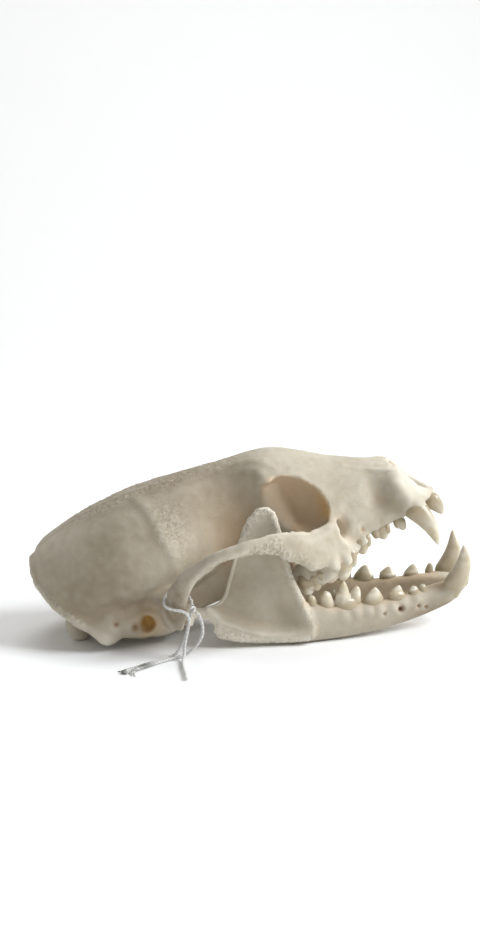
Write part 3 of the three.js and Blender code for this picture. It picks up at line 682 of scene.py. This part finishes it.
def lower_jaw(side_name, side):
    """One lower jaw, with the muscle's hollow, its edges, the roots' swellings and the nerve holes."""
    jaw = solid_copy("mandible_" + side_name, "jaw_bone_" + side_name)
    points = read_points(jaw.data) - JAWS_AT
    x, _, z = points.T
    crowns = (x > JAW_TEETH_REAR) & (z > jaw_gum(x))
    points[crowns, 2] = jaw_gum(x[crowns])
    write_points(jaw.data, points + JAWS_AT)
    remesh(jaw, JAW_VOXEL)
    edges = edge_ends(jaw.data)
    points = read_points(jaw.data) - JAWS_AT
    points = relaxed(points, edges, 16, 0.4 + 0.25 * ramp(points[:, 0], 19, 22))
    write_points(jaw.data, points + JAWS_AT)
    facing = outward(jaw)
    folded = points * (1, side, 1)
    outer = np.clip(side * facing[:, 1] * 1.6, 0, 1)
    x, _, z = folded.T
    # The chewing muscle's hollow is the plate between the ridge in front of it and the one below it.
    front = profile([(p[2], p[0]) for p in PLATE_RIDGE[::-1]])
    below = profile([(p[0], p[2]) for p in LOWER_RIDGE])
    inside = ramp(front(z) - x, 0, 4.5) * ramp(z - below(x), 0, 3) * ramp(z, 34, 25)
    rise = -1.1 * inside * outer
    rise -= 0.9 * spot(folded, *MUSCLE_PIT) * outer
    rise += (0.6 * ridge(folded, PLATE_RIDGE, 1.3) + 0.8 * ridge(folded, LOWER_RIDGE, 1.1)) * outer
    rise += 0.45 * bulges(folded, [(root, 1.5) for root in JAW_ROOTS]) * outer
    rise += 0.4 * spot(folded, *CHIN)
    pits = outer * np.max([
        bump(np.hypot(x - hole_x, z - hole_z), radius) for hole_x, hole_z, radius in JAW_HOLES
    ], axis=0)
    points = points + facing * (rise - JAW_HOLE_DEPTH * pits)[:, None]
    points = relaxed(points, edges, 2, 0.3)
    # The tip and the heel, where muscles held, are rough.
    tip = ridge(folded, PLATE_TIP, 2.6)
    heel = ramp(below(x) - z, 0, 1.6) * (x < 19)
    rough = np.clip(tip + 0.8 * heel + 0.6 * ridge(folded, PLATE_RIDGE, 1.4) * outer, 0, 1)
    lift = 0.4 * rough * lumps(points, 0.9, 20) + 0.08 * lumps(points, 2.4, 60)
    points = points + facing * lift[:, None]
    points[:, 2] = np.maximum(points[:, 2], -JAWS_AT[2])
    write_points(jaw.data, points + JAWS_AT)
    hollow = hollowness(jaw, 8)
    groove_shade = np.clip(hollow * 3, 0, 1)
    gum = bump(z - jaw_gum(x), 1.1) * (x > 17) * (x < 58)
    inner = np.clip(-side * facing[:, 1], 0, 1) * (x > 14)
    largest_hole = np.where(np.abs(x - JAW_HOLES[0][0]) < 1.5, 1, 0.2)
    chin = ramp(x, 40, 60) * ramp(z, 9, 4)
    # Painted on the jaw: raised edges paler, partly from wear and partly as painted light; the heel paler
    # as painted light, and the plate's tip paler; tan in grooves, along the gum line, on the inner face and
    # in the nerve's holes, partly staining and partly painted shade; dark brown painted shade in the
    # largest hole; grey painted shade in the muscle's hollow, on the chin and on the outer face of the
    # tooth-bearing part.
    paint(jaw, "pale", np.clip(-hollow * 2.2, 0, 0.8) + 1.2 * heel + 0.6 * tip)
    paint(jaw, "stain", 0.4 * groove_shade + 0.5 * gum + 0.45 * inner + 0.5 * pits)
    paint(jaw, "deep", np.clip(pits * 1.2, 0, 1) * largest_hole)
    paint(jaw, "grey", (0.35 * inside + 1.3 * chin + 0.35 * (x > 19)) * outer)
    paint(jaw, "porous", rough + 0.4 * gum)
    jaw.data.materials.append(bone)
    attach(jaw, "root")
    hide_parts("mandible_" + side_name)


lower_jaw("right", -1)
lower_jaw("left", 1)


# ---- Teeth ------------------------------------------------------------------------------------------
# Enamel crowns set in the gum line: pointed cheek teeth that shear past each other, a row of small
# incisors and four long curved canines. Harder, whiter and glossier than the bone.
TOOTH_VOXEL = 0.2
ROW_SLANT = 10
ROOT_WIDTH = 0.55
TIP_ROUNDING = 9


def crown(bm, foot, tip, along, across, taper=0.8, bow=0, heading=0, neck=0.28):
    """One cusp: an ellipse at the neck, running to its tip, with its root inside the bone."""
    foot, tip = Vector(foot), Vector(tip)
    root = foot.lerp(tip, -neck / (1 - neck))
    axis = tip - root
    row = Vector((math.cos(heading), math.sin(heading), 0))
    side_way = axis.cross(row).normalized()
    row = side_way.cross(axis).normalized()
    for vert in bmesh.ops.create_uvsphere(bm, u_segments=18, v_segments=16, radius=1)["verts"]:
        x, y, z = vert.co
        t = max(0, min(1, (1 + z) / 2))
        ring = max(math.hypot(x, y), 1e-6)
        rise = max(0, (t - neck) / (1 - neck))
        width = (1 - rise) ** taper
        width *= min(1, math.sqrt((1 - t) * TIP_ROUNDING))
        width *= ROOT_WIDTH + (1 - ROOT_WIDTH) * min(1, t / neck)
        if ring < 1e-5:
            width = 0
        vert.co = (
            root + axis * t + row * (along * width * x / ring) + side_way * (across * width * y / ring)
            + Vector((bow * math.sin(math.pi * rise), 0, 0))
        )


def tooth_piece(name, cusps, to_world, neck_shade_share, side):
    """Joins the cusps of one side into a single skin of enamel, and paints its neck's darker tone, partly
    painted shade.
    """
    bm = bmesh.new()
    mirror = np.array((1, side, 1))
    for foot, tip, along, across, shape in cusps:
        slant = -side * math.radians(shape.get("heading", ROW_SLANT))
        crown(bm, foot * mirror, tip * mirror, along, across, **{**shape, "heading": slant})
    bmesh.ops.scale(bm, vec=(MM, MM, MM), verts=bm.verts)
    bmesh.ops.recalc_face_normals(bm, faces=bm.faces)
    mesh = bpy.data.meshes.new(name)
    bm.to_mesh(mesh)
    bm.free()
    piece = new_piece(name, mesh)
    write_points(mesh, to_world(read_points(mesh)))
    remesh(piece, TOOTH_VOXEL)
    skin = relaxed(read_points(piece.data), edge_ends(piece.data), 3, 0.5)
    write_points(piece.data, skin)
    paint(piece, "neck", neck_shade_share(skin))
    piece.data.materials.append(enamel)
    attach(piece, "root")


# Tooth enamel over dentine: creamy white and smooth, a little see-through at the edges, with a faint
# ripple in its gloss and a warmer, darker tone towards the neck, partly the tooth's own and partly
# painted shade, which reaches far up the canines and the first lower molar.
enamel, tree, shader, place = bare_material("tooth_enamel")
shader.inputs["IOR"].default_value = 1.62
shader.inputs["Roughness"].default_value = 0.3
shader.inputs["Subsurface Weight"].default_value = 0.25
shader.inputs["Subsurface Radius"].default_value = (1, 0.8, 0.55)
shader.inputs["Subsurface Scale"].default_value = 0.9 * MM
tint = add_node(
    tree, "ShaderNodeTexNoise", inputs={"Scale": per_metre(3.5), "Detail": 3}, links={"Vector": place},
).outputs["Fac"]
tint_colour = add_node(tree, "ShaderNodeValToRGB", links={"Fac": tint})
tint_colour.color_ramp.elements[0].position = 0.35
tint_colour.color_ramp.elements[0].color = to_linear("#bdb092")
tint_colour.color_ramp.elements[1].position = 0.62
tint_colour.color_ramp.elements[1].color = to_linear("#ddd7c8")
# The neck's darker tone: partly the tooth's own, partly painted shade.
neck_shade_value = add_node(tree, "ShaderNodeAttribute", {"attribute_name": "neck"}).outputs["Fac"]
neck_shaded = add_node(
    tree, "ShaderNodeMix", {"data_type": "RGBA"},
    links={"Factor": neck_shade_value, "A": tint_colour.outputs["Color"]},
)
neck_shaded.inputs["B"].default_value = to_linear("#a4967a")
tree.links.new(neck_shaded.outputs["Result"], shader.inputs["Base Color"])
ripple = add_node(
    tree, "ShaderNodeTexNoise", inputs={"Scale": per_metre(0.8), "Detail": 2}, links={"Vector": place},
).outputs["Fac"]
ripple_bump = add_node(
    tree, "ShaderNodeBump", inputs={"Strength": 0.12, "Distance": 0.1 * MM}, links={"Height": ripple},
)
tree.links.new(ripple_bump.outputs["Normal"], shader.inputs["Normal"])

# Each cusp: the middle of its foot, its tip, its half widths along and across the row, and its shape.
BLUNT = {"taper": 0.45}
ROUND = {"taper": 0.3}
RIM = {"taper": 0.2, "neck": 0.5}
UPPER_TEETH = [
    # Incisors, from the middle outwards, and the canine.
    ((105.2, 1.15, -4.4), (106.2, 1.2, -8), 0.9, 0.8, BLUNT),
    ((104.8, 3.25, -4.4), (105.9, 3.35, -8.5), 1, 0.9, BLUNT),
    ((103.7, 5.7, -4.9), (105.6, 5.9, -9.9), 2.6, 1.5, {"taper": 0.6, "bow": 0.3}),
    ((98.5, 10, -4.6), (100.9, 11.8, -16.5), 3.4, 2.4, {"taper": 0.72, "bow": 1, "neck": 0.2}),
    # A peg, then two low worn blades with swollen rims.
    ((93.5, 9.9, -6.2), (93.7, 10.1, -9), 1.5, 1.2, ROUND),
    ((92.4, 10.1, -6), (92.3, 10.2, -8), 1, 1.1, ROUND),
    ((87.7, 10.8, -6), (87.9, 11.1, -9.4), 2.3, 1.3, {"taper": 0.5}),
    ((89.4, 10.7, -6), (89.4, 10.9, -8.2), 1, 1.2, ROUND),
    ((86, 11.2, -6), (85.9, 11.4, -8.2), 1.3, 1.2, ROUND),
    ((81.2, 12.5, -6.6), (81, 12.9, -10.7), 2.5, 1.5, {"taper": 0.45}),
    ((83.2, 12.2, -6.4), (83.1, 12.6, -9.2), 1.2, 1.3, ROUND),
    ((78.9, 13.1, -7), (78.7, 13.5, -10.2), 1.3, 1.4, ROUND),
    # The carnassial: a full front cusp, a rear blade, a swollen outer rim and an inner lobe.
    ((75, 14.8, -9.4), (73, 15.8, -14.8), 3.1, 2, {"taper": 0.42}),
    ((77.4, 14.3, -8.4), (77, 14.7, -12.4), 2, 1.6, ROUND),
    ((70.6, 15.9, -9.8), (69.6, 16.3, -13.9), 3, 1.7, ROUND),
    ((68, 16.4, -10), (67.6, 16.5, -13.6), 1.8, 1.6, ROUND),
    ((73.6, 16.3, -9.8), (73.2, 16.7, -12.2), 2.6, 1.2, RIM),
    ((76.2, 11.8, -7.4), (76.2, 11.4, -10.6), 1.5, 1.6, BLUNT),
    # The molar: two outer lobes, a waist and a broad inner lobe.
    ((65.8, 15.9, -10.4), (65.8, 16.4, -14.5), 1.9, 1.9, ROUND),
    ((63.2, 15.7, -10.4), (63.2, 16.1, -15.1), 2.2, 2, ROUND),
    ((64.6, 16.5, -11), (64.6, 16.9, -13.2), 2.4, 1.1, RIM),
    ((64.4, 13.8, -8.4), (64.4, 13.7, -12), 2.1, 2.4, BLUNT),
    ((63.8, 11.2, -8.4), (63.8, 11, -12), 2.9, 2.9, {"taper": 0.3}),
]
ROW = 15
LOWER_TEETH = [
    ((64.2, 1.1, 11.2), (64.8, 1.1, 13.8), 0.7, 0.65, BLUNT),
    ((63.4, 2.6, 11.2), (64.1, 2.6, 14.1), 0.8, 0.75, BLUNT),
    ((64, 4.2, 11.2), (64.8, 4.2, 14.3), 0.9, 0.85, BLUNT),
    ((60.3, 7.5, 12), (62.6, 9.5, 23.9), 3.4, 2.5, {"taper": 0.66, "bow": 1.3, "neck": 0.26}),
    # The two premolars behind the gap: low wide triangles with a swollen rim.
    ((43.7, 10.6, 10), (44.5, 10.8, 12.9), 2.5, 1.4, {"taper": 0.7, "heading": ROW}),
    ((43.9, 10.7, 9.2), (44.1, 10.8, 11.2), 2.7, 1.6, {**RIM, "heading": ROW}),
    ((37.2, 12.6, 9.6), (37.6, 12.8, 13.1), 3, 1.6, {"taper": 0.7, "heading": ROW}),
    ((37, 12.6, 8.6), (37.2, 12.8, 10.8), 3.2, 1.8, {**RIM, "heading": ROW}),
    # The first molar: front blade, tall middle cusp, rim, heel; and the small last molar.
    ((31.6, 14.1, 9.4), (32.5, 14.3, 14), 2, 1.6, {"taper": 0.4, "heading": ROW}),
    ((28.4, 15.1, 9.4), (28.6, 15.3, 16), 2.6, 2, {"taper": 0.6, "heading": ROW}),
    ((29.4, 14.9, 8.2), (29.4, 15.1, 11.2), 3.6, 2.1, {**RIM, "heading": ROW}),
    ((26.2, 14, 8.4), (26.1, 13.8, 13.2), 1, 1, BLUNT),
    ((23.9, 15.9, 8.6), (23.6, 16.1, 13.3), 2.4, 2, {"taper": 0.35, "heading": ROW}),
    ((19.7, 17, 9.8), (19.7, 17, 12.4), 1.6, 1.5, ROUND),
]
RIGHT_STUB = [
    ((48.7, 9.2, 9.8), (48.7, 9.3, 12.1), 1.6, 1.3, {**ROUND, "heading": ROW}),
    ((51.3, 8.4, 10.2), (51.4, 8.4, 12.3), 1.4, 1.2, {**ROUND, "heading": ROW}),
]
LEFT_FRONT = [
    ((50.5, 8.6, 10.8), (51.4, 8.9, 13.9), 2.2, 1.3, {"taper": 0.6, "heading": ROW}),
    ((50.4, 8.6, 10.2), (50.5, 8.7, 12.2), 2.4, 1.5, {**RIM, "heading": ROW}),
    ((55.4, 7.4, 11.6), (56, 7.5, 14.4), 1.3, 1.1, {"taper": 0.4, "heading": ROW}),
]


def in_jaw(points):
    """The lower jaws' own frame into world millimetres."""
    return points + JAWS_AT


def upper_neck_shade(skin):
    """How near each point is to the neck of its tooth, for its darker tone; on the canine, where it is
    partly painted shade, it reaches furthest.
    """
    x, _, z = level(skin).T
    return 0.9 - (gum_line(x) - 1.2 - z) / profile([(92, 2), (97, 7)])(x)


def lower_neck_shade(skin):
    """The same for the lower teeth, where the canine's darker neck reaches furthest and the first molar's
    is long too, both partly as painted shade.
    """
    x, _, z = (skin - JAWS_AT).T
    return 0.9 - (z - jaw_gum(x)) / profile([(24, 2), (30, 3.4), (36, 2), (54, 2), (58, 14)])(x)


tooth_piece("upper_teeth_right", UPPER_TEETH, tilted, upper_neck_shade, -1)
tooth_piece("upper_teeth_left", UPPER_TEETH, tilted, upper_neck_shade, 1)
tooth_piece("lower_teeth_right", LOWER_TEETH + RIGHT_STUB, in_jaw, lower_neck_shade, -1)
tooth_piece("lower_teeth_left", LOWER_TEETH + LEFT_FRONT, in_jaw, lower_neck_shade, 1)


# ---- String -----------------------------------------------------------------------------------------
# A white cotton string of two twisted plies, tied once round the root of the right cheek arch. One end
# hangs straight down to the table; the other strands turn back along it and end in a torn, dirty tip.
STRING_RADIUS = 0.45
PLY_RADIUS = 0.28
TWIST_LENGTH = 2.4
ROUTE_STEP = 0.2
TABLE_GAP = 0.05
LOOP_AND_END = [
    (-15.8, -26.7, 13.9), (-16, -25.4, 15), (-17.3, -24, 16.3), (-19.2, -23.3, 17.2),
    (-21.2, -23.4, 17.1), (-22.6, -24.5, 16.2), (-23.1, -26, 15.2), (-23, -27.4, 14.4),
    (-22.1, -28.7, 13.9), (-20.6, -29.3, 13.6), (-18.4, -29.5, 13.2), (-16.9, -29.5, 12),
    (-16.6, -29.4, 10), (-17.2, -29.3, 7.3), (-17.9, -29.4, 4.2), (-18.2, -30.4, 1.4),
    (-18.4, -32.8, 0.6), (-18.2, -37, 0.6), (-17.6, -42, 0.6), (-17.1, -47, 0.6),
]
BIGHT = [
    (-14.7, -28.5, 12.6), (-13.7, -28.9, 11.3), (-13.2, -29, 9.2), (-13.2, -29, 6.7),
    (-14.2, -28.8, 4.5), (-15.8, -28.4, 2.6), (-17.8, -28.3, 1), (-20, -29.1, 0.6),
    (-22.8, -31.2, 0.6), (-25.6, -33.8, 0.6), (-28.2, -36.3, 0.6), (-30.4, -38.5, 0.6),
]
TAIL = [
    (-16.2, -28.1, 12.7), (-16.7, -27.9, 9.4), (-17.6, -27.7, 6.4), (-18.8, -27.4, 3.4),
    (-20.4, -27.8, 1.2), (-22.2, -29, 0.6), (-23.6, -30, 0.6), (-26.8, -33.1, 0.6),
    (-30, -36.2, 0.6), (-32, -38.4, 0.6), (-33.8, -40.5, 0.6),
]


def smooth_route(corners, step):
    """Points at even steps along a smooth line through the corners."""
    corners = np.array(corners, float)
    padded = np.vstack((2 * corners[0] - corners[1], corners, 2 * corners[-1] - corners[-2]))
    dense = []
    for a, b, c, d in zip(padded, padded[1:], padded[2:], padded[3:]):
        for t in np.linspace(0, 1, 24, endpoint=False):
            dense.append(0.5 * (
                2 * b + (c - a) * t + (2 * a - 5 * b + 4 * c - d) * t * t + (3 * b - a - 3 * c + d) * t ** 3
            ))
    dense = np.vstack((dense, corners[-1]))
    travelled = np.concatenate(([0], np.cumsum(np.linalg.norm(np.diff(dense, axis=0), axis=1))))
    places = np.linspace(0, travelled[-1], max(2, round(travelled[-1] / step)))
    return np.column_stack([np.interp(places, travelled, dense[:, k]) for k in range(3)]), travelled[-1]


def ply_mesh(name, line, radius):
    """A round thread along a line, as a mesh."""
    curve = bpy.data.curves.new(name, "CURVE")
    curve.dimensions = "3D"
    curve.bevel_depth = radius * MM
    curve.bevel_resolution = 1
    curve.use_fill_caps = True
    spline = curve.splines.new("POLY")
    spline.points.add(len(line) - 1)
    spline.points.foreach_set("co", np.column_stack((line * MM, np.ones(len(line)))).ravel())
    carrier = bpy.data.objects.new(name, curve)
    bpy.context.collection.objects.link(carrier)
    bpy.context.view_layer.update()
    mesh = bpy.data.meshes.new_from_object(carrier.evaluated_get(bpy.context.evaluated_depsgraph_get()))
    bpy.data.objects.remove(carrier)
    bpy.data.curves.remove(curve)
    return mesh


SOILED_STRETCH = ((-28.6, -35.4, 0.6), (2.6, 2.6, 1.2))
SOILED_FROM = -32.6


def soil_at(place):
    """How dirty the string is: a dark stretch just before its torn end."""
    return np.maximum(
        0.9 * spot(place, *SOILED_STRETCH), np.clip((SOILED_FROM - place[:, 0]) / 0.8, 0, 0.85),
    )


# A direction in which no strand runs, from which the sideways ones are worked out.
NEVER_AHEAD = (0.3, 0.9, 0.31)


def twisted_string(name, corners, node):
    """One strand of the string: two plies wound round its route."""
    line, length = smooth_route(corners, ROUTE_STEP)
    ahead = np.gradient(line, axis=0)
    ahead /= np.linalg.norm(ahead, axis=1)[:, None]
    across = np.cross(ahead, NEVER_AHEAD)
    across /= np.linalg.norm(across, axis=1)[:, None]
    over = np.cross(ahead, across)
    turn = np.linspace(0, 2 * math.pi * length / TWIST_LENGTH, len(line))[:, None]
    bm = bmesh.new()
    for ply in range(2):
        phase = turn + math.pi * ply
        offset = (np.cos(phase) * across + np.sin(phase) * over) * (STRING_RADIUS - PLY_RADIUS)
        ply_line = line + offset
        ply_line[:, 2] = np.maximum(ply_line[:, 2], PLY_RADIUS + TABLE_GAP)
        mesh = ply_mesh(name, ply_line, PLY_RADIUS)
        bm.from_mesh(mesh)
        bpy.data.meshes.remove(mesh)
    mesh = bpy.data.meshes.new(name)
    bm.to_mesh(mesh)
    bm.free()
    mesh.shade_smooth()
    piece = new_piece(name, mesh)
    paint(piece, "soil", soil_at(read_points(mesh)))
    mesh.materials.append(cotton)
    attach(piece, "root")
    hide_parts(node)


# Spun cotton: soft and matt, white flecked with grey, with a fibrous surface.
# Its fibres are far finer than a quarter of a millimetre, and are drawn so coarse to show at all.
cotton, tree, shader, place = bare_material("spun_cotton")
shader.inputs["Roughness"].default_value = 0.95
shader.inputs["Sheen Weight"].default_value = 0.3
shader.inputs["Sheen Roughness"].default_value = 0.5
fibre = add_node(
    tree, "ShaderNodeTexNoise", inputs={"Scale": per_metre(0.25), "Detail": 3}, links={"Vector": place},
).outputs["Fac"]
fibre_colour = add_node(tree, "ShaderNodeValToRGB", links={"Fac": fibre})
fibre_colour.color_ramp.elements[0].position = 0.3
fibre_colour.color_ramp.elements[0].color = to_linear("#aaa9a3")
fibre_colour.color_ramp.elements[1].position = 0.6
fibre_colour.color_ramp.elements[1].color = to_linear("#dcdbd7")
soil_value = add_node(tree, "ShaderNodeAttribute", {"attribute_name": "soil"}).outputs["Fac"]
soiled = add_node(
    tree, "ShaderNodeMix", {"data_type": "RGBA"},
    links={"Factor": soil_value, "A": fibre_colour.outputs["Color"]},
)
soiled.inputs["B"].default_value = to_linear("#4d4d44")
tree.links.new(soiled.outputs["Result"], shader.inputs["Base Color"])
fibre_bump = add_node(
    tree, "ShaderNodeBump", inputs={"Strength": 0.6, "Distance": 0.06 * MM}, links={"Height": fibre},
)
tree.links.new(fibre_bump.outputs["Normal"], shader.inputs["Normal"])

# The knot: the string wrapped tightly over itself where its four strands meet.
KNOT = np.array((-15.7, -28.1, 13.3))
KNOT_TURNS = 2.5
KNOT_RADIUS = 0.62
KNOT_DEPTH = 0.5
KNOT_THREAD = 0.34
angle = np.linspace(0, 2 * math.pi * KNOT_TURNS, 90)
knot_line = KNOT + np.column_stack((
    KNOT_RADIUS * np.cos(angle), KNOT_DEPTH * np.sin(2 * angle + 0.6), KNOT_RADIUS * np.sin(angle),
))
knot = new_piece("knot", ply_mesh("knot", knot_line, KNOT_THREAD))
knot.data.shade_smooth()
knot.data.materials.append(cotton)
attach(knot, "root")
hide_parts("string_knot")

twisted_string("loop_and_hanging_end", LOOP_AND_END, "string_loop")
twisted_string("turned_strand", BIGHT, "string_bight")
twisted_string("inner_strand", TAIL, "string_tail")

# The torn end: loose fibres that fan out from the last turns of the plies and lie on the table.
FIBRE_COUNT = 70
FIBRE_LENGTH = (1.2, 3.6)
FIBRE_RADIUS = 0.09
TORN_END = np.array((-30.9, -37.7, 0.6))
PULL = np.array((-0.66, -0.75, 0))
ACROSS_PULL = np.array((0.75, -0.66, 0))
chance = np.random.default_rng(7)
bm = bmesh.new()
for _ in range(FIBRE_COUNT):
    root = TORN_END + ACROSS_PULL * chance.uniform(-0.9, 0.9) + PULL * chance.uniform(-0.8, 0.6)
    root[2] = chance.uniform(0.2, 0.95)
    spread = chance.uniform(-0.55, 0.55)
    curl = chance.uniform(-0.5, 0.5)
    reach = chance.uniform(*FIBRE_LENGTH)
    steps = np.linspace(0, 1, 7)[:, None]
    fibre_line = root + reach * (PULL * steps + ACROSS_PULL * (spread * steps + curl * steps ** 2))
    fibre_line[:, 2] = root[2] + (0.15 - root[2]) * steps[:, 0] ** 1.5
    fibre_mesh = ply_mesh("fibre", fibre_line, FIBRE_RADIUS)
    bm.from_mesh(fibre_mesh)
    bpy.data.meshes.remove(fibre_mesh)
torn_mesh = bpy.data.meshes.new("torn_fibres")
bm.to_mesh(torn_mesh)
bm.free()
torn_mesh.shade_smooth()
torn = new_piece("torn_fibres", torn_mesh)
paint(torn, "soil", 0.15 + soil_at(read_points(torn_mesh)))
torn_mesh.materials.append(cotton)
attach(torn, "root")


# ---- Table, light and finish ------------------------------------------------------------------------
# A sheet of white paper, swept up behind the skull, under one large soft lamp from the right and above.
SHEET_WIDTH = 4
SHEET_FRONT = -0.8
BEND_START = 0.7
BEND_RADIUS = 0.6
SHEET_TOP = 2.2
flat_length = BEND_START - SHEET_FRONT
bend_length = BEND_RADIUS * math.pi / 2
sheet_length = flat_length + bend_length + SHEET_TOP - BEND_RADIUS


def on_sheet(travelled):
    """How far back and how high the sheet is, after the given length from its front edge."""
    if travelled < flat_length:
        return SHEET_FRONT + travelled, 0
    if travelled > flat_length + bend_length:
        return BEND_START + BEND_RADIUS, BEND_RADIUS + travelled - flat_length - bend_length
    turned = (travelled - flat_length) / BEND_RADIUS
    return BEND_START + BEND_RADIUS * math.sin(turned), BEND_RADIUS * (1 - math.cos(turned))


bm = bmesh.new()
for vert in bmesh.ops.create_grid(bm, x_segments=1, y_segments=120, size=0.5)["verts"]:
    far, high = on_sheet((vert.co.y + 0.5) * sheet_length)
    vert.co = (vert.co.x * SHEET_WIDTH, far, high)
sheet_mesh = bpy.data.meshes.new("paper_sheet")
bm.to_mesh(sheet_mesh)
bm.free()
sheet_mesh.shade_smooth()
sheet = new_piece("paper_sheet", sheet_mesh)
# Matt white paper, uncoated: pale and without any shine.
paper, _, shader, _ = bare_material("matt_white_paper")
shader.inputs["Base Color"].default_value = to_linear("#f7f7f6")
shader.inputs["Roughness"].default_value = 0.95
shader.inputs["Specular IOR Level"].default_value = 0.2
sheet_mesh.materials.append(paper)
for name, spot, aim, size, power, tone in [
    ("key_softbox", (0.68, -0.14, 0.5), (0, 0, 0.03), 0.44, 8.4, (0.97, 1, 1.04)),
    ("sheet_softbox", (0, 1, 1.6), (0, 1.2, 0), 1, 13, (1, 1, 1)),
]:
    light = bpy.data.lights.new(name, "AREA")
    light.size = size
    light.energy = power
    light.color = tone
    lamp = bpy.data.objects.new(name, light)
    lamp.location = spot
    lamp.rotation_euler = (Vector(aim) - Vector(spot)).to_track_quat("-Z", "Y").to_euler()
    bpy.context.collection.objects.link(lamp)
world = bpy.data.worlds.new("pale_room")
world.use_nodes = True
world.node_tree.nodes["Background"].inputs["Color"].default_value = (1, 1, 1, 1)
world.node_tree.nodes["Background"].inputs["Strength"].default_value = 0.4
bpy.context.scene.world = world
bpy.context.scene.view_settings.view_transform = "Standard"
